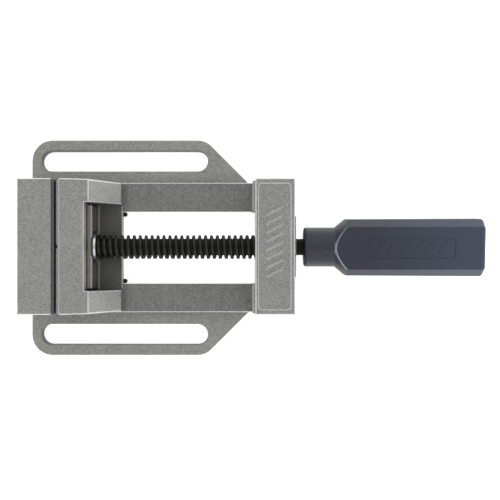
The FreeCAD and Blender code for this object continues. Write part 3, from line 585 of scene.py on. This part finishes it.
@dataclass(frozen=True)
class BlackOxide:
    """Blackened steel, oiled, with a painted highlight that makes the thread's crests a little
    brighter.
    """

    name: str
    axis_height: float
    highlight_radius: float
    colour: Colour = (0.005, 0.005, 0.0045)
    # colour of the painted highlight on the thread's crests
    rubbed_and_highlit: Colour = (0.024, 0.023, 0.0215)
    metallic: float = 0.6
    roughness: float = 0.36
    root_roughness: float = 0.25
    highlight_depth: float = 0.35 * MM
    highlight_tone: float = 0.7
    cloud_size: float = 1.2 * MM
    cloud_tone: float = 1.2
    cloud_gloss: float = 0.3
    fine_size: float = 0.18 * MM
    fine_tone: float = 0.5
    fine_gloss: float = 0.2
    relief: float = 0.6
    relief_depth: float = 0.02 * MM

    def material(self) -> bpy.types.Material:
        """Make the finish.

        Returns:
            The material.
        """
        graph, material = Graph.of_material(self.name)
        place = graph.place()
        radius = place.from_axis(self.axis_height)
        # painted highlight on the thread's crests
        rub_and_highlight = radius.step(self.highlight_radius - self.highlight_depth, self.highlight_radius)
        cloud = graph.noise(place, self.cloud_size, 3.0)
        fine = graph.noise(place, self.fine_size, shift=0.2)
        tone = rub_and_highlight * (self.highlight_tone + self.cloud_tone * cloud) + self.fine_tone * fine
        gloss = self.cloud_gloss * cloud + self.fine_gloss * fine
        graph.surface(
            {
                "Base Color": graph.blend(tone.most(0.0), self.colour, self.rubbed_and_highlit),
                "Metallic": self.metallic,
                "Roughness": self.roughness + gloss + self.root_roughness * (1.0 - rub_and_highlight),
                "Normal": graph.bump(MIDDLE + fine + cloud, self.relief_depth, self.relief),
            }
        )
        return material


@dataclass(frozen=True)
class TurnedMetal:
    """Turned metal with fine rings about the screw's axis."""

    name: str
    axis_height: float
    colour: Colour
    roughness: float
    dark: float = 0.85
    light: float = 1.12
    ring_pitch: float = 0.22 * MM
    ring_lead: float = 0.5
    ring_depth: float = 0.006 * MM
    ring_tone: float = 0.12
    ring_gloss: float = 0.03
    stain_size: float = 2.5 * MM
    stain_tone: float = 0.7
    stain_gloss: float = 0.12

    def material(self) -> bpy.types.Material:
        """Make the finish.

        Returns:
            The material.
        """
        graph, material = Graph.of_material(self.name)
        place = graph.place()
        radius = place.from_axis(self.axis_height)
        turn = 2 * math.pi / self.ring_pitch
        rings = ((radius + self.ring_lead * place.x) * turn).wave()
        stain = graph.noise(place, self.stain_size, 3.0)
        tone = MIDDLE + self.ring_tone * rings + self.stain_tone * stain
        dark, light = toned(self.colour, self.dark), toned(self.colour, self.light)
        gloss = self.stain_gloss * stain + self.ring_gloss * rings
        graph.surface(
            {
                "Base Color": graph.blend(tone, dark, light),
                "Metallic": 1.0,
                "Roughness": self.roughness + gloss,
                "Normal": graph.bump(MIDDLE + MIDDLE * rings, self.ring_depth),
            }
        )
        return material


@dataclass(frozen=True)
class ConeEdge:
    """The curved edges where the handle's cone runs into the flats of its paddle, which take a
    painted highlight.
    """

    front: float = 130 * MM
    neck_radius: float = 11.9 * MM
    spread: float = 0.84
    flat: float = 12.0 * MM
    axis_height: float = 28 * MM
    turn: float = math.radians(5)
    outer: float = 0.7 * MM
    inner: float = 0.2 * MM

    def mask(self, place: Place) -> Term:
        """The edges of the cone.

        Args:
            place: where they are read.

        Returns:
            1 on the edges and 0 away from them.
        """
        rise = place.z - self.axis_height
        across = abs(rise * math.cos(self.turn) - place.y * math.sin(self.turn))
        cone = (place.x - self.front) * self.spread + self.neck_radius
        off_cone = abs(place.from_axis(self.axis_height) - cone)
        return off_cone.most(abs(across - self.flat)).step(self.outer, self.inner)


@dataclass(frozen=True)
class MouldedPlastic:
    """Moulded plastic with a fine spark-eroded texture and faint flow, and, where it has a
    cone, a painted highlight on its edges and a painted sheen.
    """

    name: str
    colour: Colour
    # painted highlight on the cone's edges, brighter towards -Y, and a painted sheen that is
    # paler towards +X
    cone_highlight: ConeEdge | None = None
    highlight_colour: Colour = (0.26, 0.28, 0.33)
    polish: float = 0.15
    highlight_middle: float = 0.7
    highlight_slope: float = 30.0
    painted_sheen_span: Span = (0.0, 0.0)
    painted_sheen_tone: float = 2.4
    roughness: float = 0.45
    contrast: float = 0.22
    grain_size: float = 0.45 * MM
    grain_depth: float = 0.035 * MM
    grain_tone: float = 0.6
    grain_gloss: float = 0.2
    fine_share: float = 0.4
    flow_size: float = 16 * MM
    flow_tone: float = 0.8
    flow_gloss: float = 0.08
    relief: float = 0.7

    def material(self) -> bpy.types.Material:
        """Make the finish.

        Returns:
            The material.
        """
        graph, material = Graph.of_material(self.name)
        place = graph.place()
        grain = graph.noise(place, self.grain_size)
        fine = graph.noise(place, self.fine_share * self.grain_size, 1.0, shift=0.3)
        flow = graph.noise(place, self.flow_size, shift=0.1)
        tone = MIDDLE + self.grain_tone * grain + self.flow_tone * flow
        dark, light = (toned(self.colour, factor) for factor in about(1.0, self.contrast))
        colour = graph.blend(tone, dark, light)
        roughness = self.roughness + self.grain_gloss * grain + self.flow_gloss * flow
        if self.cone_highlight:
            # painted sheen, paler towards the handle's end
            painted_sheen_colour = toned(self.colour, self.painted_sheen_tone)
            colour = graph.blend(place.x.step(*self.painted_sheen_span), colour, painted_sheen_colour)
            # painted highlight on the cone's edges, brighter towards -Y
            brightness = (self.highlight_middle - self.highlight_slope * place.y).least(1.0)
            edge_highlight = self.cone_highlight.mask(place) * brightness
            colour = graph.blend(edge_highlight, colour, self.highlight_colour)
            roughness = roughness - self.polish * edge_highlight
        relief = MIDDLE + grain + MIDDLE * fine
        graph.surface(
            {
                "Base Color": colour,
                "Roughness": roughness,
                "Normal": graph.bump(relief, self.grain_depth, self.relief),
            }
        )
        return material


class Dresser:
    """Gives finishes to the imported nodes."""

    def __init__(self, nodes: dict[str, bpy.types.Object]) -> None:
        """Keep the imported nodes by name."""
        self.nodes = nodes

    def dress(self, material: bpy.types.Material, *names: str) -> None:
        """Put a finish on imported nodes.

        Args:
            material: the finish.
            names: the nodes that wear it.
        """
        for name in names:
            for slot in self.nodes[name].material_slots:
                slot.material = material
            log.info("%s wears %s", name, material.name)


@dataclass
class BaseCasting:
    """The casting with its rails and its fixed jaw, and the bush in its bridge."""

    rail_step: float = 1.0 * MM
    rail_skin: float = 0.3 * MM
    stop_depth: float = 1.6 * MM
    stop_top: float = 30 * MM
    # painted highlight on the top of the stop
    stop_highlight: float = 0.35
    edge_width: float = 0.45 * MM
    panel_middle: float = 93.6 * MM
    bar_reach: float = 6.5 * MM
    bar_rows: Span = (-20 * MM, 25 * MM)
    bar_top: Span = (44.65 * MM, 44.85 * MM)
    bar_soft: float = 0.05 * MM
    # painted highlight on the tops of the bars
    bar_highlight: float = 0.22
    slot_place: float = 54.6 * MM
    slot_half: float = 7 * MM
    slot_reach: float = 53 * MM
    slot_top: float = 7.6 * MM
    window_half: float = 23 * MM
    bush_colour: Colour = (0.30, 0.29, 0.27)
    bush_roughness: float = 0.4

    def dress(self, dresser: Dresser) -> None:
        """Finish the casting and the bush.

        Args:
            dresser: puts the finishes on.
        """
        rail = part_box("fixed_jaw_plate")[0].z - self.rail_step
        finish = CastAluminium(
            "cast_frame_finish",
            rubbed_and_highlit=(self._rails(rail),),
            # painted highlights on the stop and on the bars' tops
            painted_highlights=(*self._stop_edges(), self._bars()),
            # painted shade on the walls of the slots and of the window
            painted_wall_shade=(*self._slots(), self._window(rail)),
        )
        dresser.dress(finish.material(), "frame_casting")
        low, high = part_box("spindle_bush")
        axis = (low.z + high.z) / 2
        bush = TurnedMetal("bush_finish", axis, self.bush_colour, self.bush_roughness)
        dresser.dress(bush.material(), "spindle_bush")

    def _run(self) -> Span:
        """The rails along X, from the fixed plate to the bush."""
        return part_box("fixed_jaw_plate")[0].x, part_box("spindle_bush")[0].x

    def _rails(self, rail: float) -> Zone:
        """Tops of the rails, where the moving jaw has rubbed them.

        Args:
            rail: their height.

        Returns:
            The zone.
        """
        jaw_low, jaw_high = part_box("moving_jaw")
        return Zone(self._run(), (jaw_low.y, jaw_high.y), about(rail, self.rail_skin))

    def _stop_edges(self) -> tuple[Zone, Zone]:
        """Front edge and top of the step below the bridge, where the jaw stops, which take a
        painted highlight.

        Returns:
            Both zones.
        """
        low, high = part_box("frame_casting")
        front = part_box("spindle_bush")[0].x
        stop = front - self.stop_depth
        across, height = (low.y, high.y), about(self.stop_top, self.edge_width)
        edge_highlight = Zone(about(stop, self.edge_width), across, height)
        return edge_highlight, Zone((stop, front), across, height, weight=self.stop_highlight)

    def _bars(self) -> Zone:
        """Tops of the bars on the bridge's panel, which take a painted highlight."""
        run = about(self.panel_middle, self.bar_reach)
        return Zone(run, self.bar_rows, self.bar_top, self.bar_soft, self.bar_highlight)

    def _slots(self) -> tuple[Zone, ...]:
        """Walls of the two mounting slots, which take painted shade.

        Returns:
            A zone for each slot.
        """
        run, height = about(0.0, self.slot_reach), (-self.rail_step, self.slot_top)
        sides = (self.slot_place, -self.slot_place)
        return tuple(Zone(run, about(side, self.slot_half), height) for side in sides)

    def _window(self, rail: float) -> Zone:
        """Walls between the rails, up to just below their height, which take painted shade."""
        height = (-self.rail_step, rail - self.rail_skin)
        return Zone(self._run(), about(0.0, self.window_half), height)


@dataclass
class JawFacings:
    """Both hardened jaw plates and their countersunk screws."""

    colour: Colour = (0.135, 0.135, 0.132)
    moving_colour: Colour = (0.26, 0.27, 0.28)
    screw_colour: Colour = (0.55, 0.55, 0.54)
    screw_roughness: float = 0.3

    def dress(self, dresser: Dresser) -> None:
        """Finish the plates and their screws.

        Args:
            dresser: puts the finishes on.
        """
        fixed = GroundSteel("fixed_plate_finish", self.colour, Lay.ALONG_Y)
        dresser.dress(fixed.material(), "fixed_jaw_plate")
        moving = GroundSteel("moving_plate_finish", self.moving_colour, Lay.ALONG_Y)
        dresser.dress(moving.material(), "moving_jaw_plate")
        screws = GroundSteel(
            "plate_screw_finish", self.screw_colour, Lay.ALONG_Z, self.screw_roughness
        )
        dresser.dress(screws.material(), "fixed_plate_screws", "moving_plate_screws")


@dataclass
class SlidingJaw:
    """The moving jaw, its thrust plate and the keeper below it."""

    well_margin: float = 1.0 * MM
    shoulder_run: float = 16.2 * MM
    lip_depth: float = 1.5 * MM
    lip_height: float = 2.0 * MM
    lip_margin: float = 0.4 * MM
    edge_width: float = 0.35 * MM
    # painted highlight on the rear edge of the well's floor
    floor_highlight: float = 0.8
    # painted light on the wall above the thrust plate
    wall_painted_light: float = 0.4
    thrust_colour: Colour = (0.28, 0.275, 0.26)
    thrust_roughness: float = 0.3
    keeper_colour: Colour = (0.05, 0.05, 0.05)
    keeper_roughness: float = 0.42
    washer_colour: Colour = (0.5, 0.5, 0.48)
    washer_roughness: float = 0.36

    def dress(self, dresser: Dresser) -> None:
        """Finish the jaw and what travels with it.

        Args:
            dresser: puts the finishes on.
        """
        # painted shade on the well's floor, and painted highlights on the jaw's edges
        finish = CastAluminium("cast_jaw_finish", painted_well_shade=(self._well(),), painted_highlights=self._painted_highlight_zones())
        dresser.dress(finish.material(), "moving_jaw")
        thrust = GroundSteel(
            "thrust_plate_finish", self.thrust_colour, Lay.ALONG_Y, self.thrust_roughness
        )
        dresser.dress(thrust.material(), "thrust_plate")
        keeper = GroundSteel(
            "keeper_finish", self.keeper_colour, Lay.ALONG_Y, self.keeper_roughness
        )
        dresser.dress(keeper.material(), "keeper_plate", "keeper_screws")
        spring = GroundSteel(
            "lock_washer_finish", self.washer_colour, Lay.ALONG_Z, self.washer_roughness
        )
        dresser.dress(spring.material(), "keeper_lock_washers")

    def _well(self) -> Zone:
        """Floor of the well behind the jaw, and its lip, which take painted shade.

        Returns:
            The zone.
        """
        foot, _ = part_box("thrust_plate")
        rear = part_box("moving_jaw")[1].x
        lip_top = foot.z + self.lip_height + self.lip_margin
        half = self.well_margin - foot.y
        return Zone((foot.x, rear), about(0.0, half), (foot.z - self.well_margin, lip_top))

    def _painted_highlight_zones(self) -> tuple[Zone, ...]:
        """Painted highlights on edges, and painted light on a wall.

        Returns:
            The shoulder's crease, the well's three edges and the wall above the plate.
        """
        _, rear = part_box("moving_jaw")
        foot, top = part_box("thrust_plate")
        lip = (top.x + self.lip_depth, foot.z + self.lip_height)
        edges = (
            (rear.x - self.shoulder_run, rear.z, rear.y, 1.0),
            (foot.x, rear.z, -foot.y, 1.0),
            (rear.x, foot.z, -foot.y, self.floor_highlight),
            (*lip, -foot.y, 1.0),
        )
        width = self.edge_width
        creases = (
            Zone(about(x, width), about(0.0, reach), about(z, width), weight=weight)
            for x, z, reach, weight in edges
        )
        wall = Zone(
            about(foot.x, width), about(0.0, -foot.y), (top.z, rear.z), weight=self.wall_painted_light
        )
        return (*creases, wall)


@dataclass
class LeadScrew:
    """The screw, its collar and washers."""

    collar_colour: Colour = (0.60, 0.61, 0.62)
    collar_roughness: float = 0.26
    ring_colour: Colour = (0.5, 0.5, 0.48)
    ring_roughness: float = 0.34
    washer_colour: Colour = (0.012, 0.012, 0.013)
    washer_grain: float = 0.3 * MM

    def dress(self, dresser: Dresser) -> None:
        """Finish the screw and its turned parts.

        Args:
            dresser: puts the finishes on.
        """
        low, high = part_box("spindle")
        axis, radius = (low.z + high.z) / 2, (high.z - low.z) / 2
        dresser.dress(BlackOxide("screw_finish", axis, radius).material(), "spindle")
        collar = TurnedMetal("collar_finish", axis, self.collar_colour, self.collar_roughness)
        dresser.dress(collar.material(), "thrust_collar")
        small = TurnedMetal("small_ring_finish", axis, self.ring_colour, self.ring_roughness)
        dresser.dress(small.material(), "front_thrust_washer", "retaining_ring")
        washer = MouldedPlastic(
            "dark_washer_finish", self.washer_colour, grain_size=self.washer_grain
        )
        dresser.dress(washer.material(), "rear_thrust_washer")


@dataclass
class Handle:
    """The moulded handle and its cross pin."""

    colour: Colour = (0.0112, 0.0152, 0.0272)
    neck_length: float = 27.3 * MM
    pin_colour: Colour = (0.06, 0.063, 0.07)
    pin_roughness: float = 0.45

    def dress(self, dresser: Dresser) -> None:
        """Finish the handle and its pin.

        Args:
            dresser: puts the finishes on.
        """
        low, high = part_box("handle_body")
        # painted sheen from the end of the neck to the end of the handle
        painted_sheen_span = (low.x + self.neck_length, high.x)
        grip = MouldedPlastic("handle_finish", self.colour, ConeEdge(), painted_sheen_span=painted_sheen_span)
        dresser.dress(grip.material(), "handle_body")
        pin = GroundSteel("handle_pin_finish", self.pin_colour, Lay.ALONG_Z, self.pin_roughness)
        dresser.dress(pin.material(), "handle_pin")


@dataclass
class Studio:
    """Pale floor, soft light all round and the camera above."""

    floor_size: float = 6.0
    floor_colour: Colour = (0.90, 0.90, 0.90)
    floor_roughness: float = 0.9
    floor_glow: float = 0.75
    glow_colour: Colour = (1.0, 1.0, 1.0)
    tent: tuple[tuple[float, float], ...] = (
        (0.0, 0.95),
        (0.25, 1.15),
        (0.5, 1.3),
        (0.9, 1.15),
        (0.975, 0.7),
        (1.0, 0.3),
    )
    eye: tuple[float, float, float] = (0.079, -0.0109, 0.56)
    lens: float = 63.07
    sensor: float = 36.0
    rise: float = 0.03

    def build(self) -> None:
        """Lay the floor, set the light and place the camera."""
        self._floor()
        self._sky()
        self._camera()

    def _floor(self) -> None:
        """A plain pale floor on Z = 0."""
        mesh = bpy.data.meshes.new("floor")
        work = bmesh.new()
        bmesh.ops.create_grid(work, x_segments=1, y_segments=1, size=self.floor_size / 2)
        work.to_mesh(mesh)
        work.free()
        floor = bpy.data.objects.new("floor", mesh)
        bpy.context.scene.collection.objects.link(floor)
        graph, material = Graph.of_material("floor_finish")
        graph.surface(
            {
                "Base Color": (*self.floor_colour, 1.0),
                "Roughness": self.floor_roughness,
                "Emission Color": (*self.glow_colour, 1.0),
                "Emission Strength": self.floor_glow,
            }
        )
        mesh.materials.append(material)

    def _sky(self) -> None:
        """Soft light all round, a little dimmer at the horizon and darkest straight above."""
        world = bpy.data.worlds.new("light_tent")
        bpy.context.scene.world = world
        world.use_nodes = True
        graph = Graph(world.node_tree)
        source = graph.node("ShaderNodeTexCoord")
        split = graph.node("ShaderNodeSeparateXYZ", None, {0: source.outputs["Generated"]})
        brightest = max(level for _, level in self.tent)
        stops = [(height, (level / brightest,) * 3) for height, level in self.tent]
        ramp = graph.node("ShaderNodeValToRGB", {"stops": stops}, {0: split.outputs[2]})
        tent = graph.node(
            "ShaderNodeBackground", None, {"Color": ramp.outputs[0], "Strength": brightest}
        )
        graph.node("ShaderNodeOutputWorld", None, {"Surface": tent.outputs[0]})

    def _camera(self) -> None:
        """A camera that looks straight down on the vise."""
        data = bpy.data.cameras.new("camera")
        data.lens, data.sensor_width, data.shift_y = self.lens, self.sensor, self.rise
        camera = bpy.data.objects.new("camera", data)
        camera.location = self.eye
        bpy.context.scene.collection.objects.link(camera)
        bpy.context.scene.camera = camera
        bpy.context.scene.view_settings.view_transform = "Standard"


def main() -> None:
    """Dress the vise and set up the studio."""
    logging.basicConfig(level=logging.INFO, format="%(name)s: %(message)s")
    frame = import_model()
    dresser = Dresser(frame["nodes"])
    for assembly in (BaseCasting(), JawFacings(), SlidingJaw(), LeadScrew(), Handle()):
        assembly.dress(dresser)
        log.info("%s done", type(assembly).__name__)
    Studio().build()


if __name__ == "__main__":
    main()
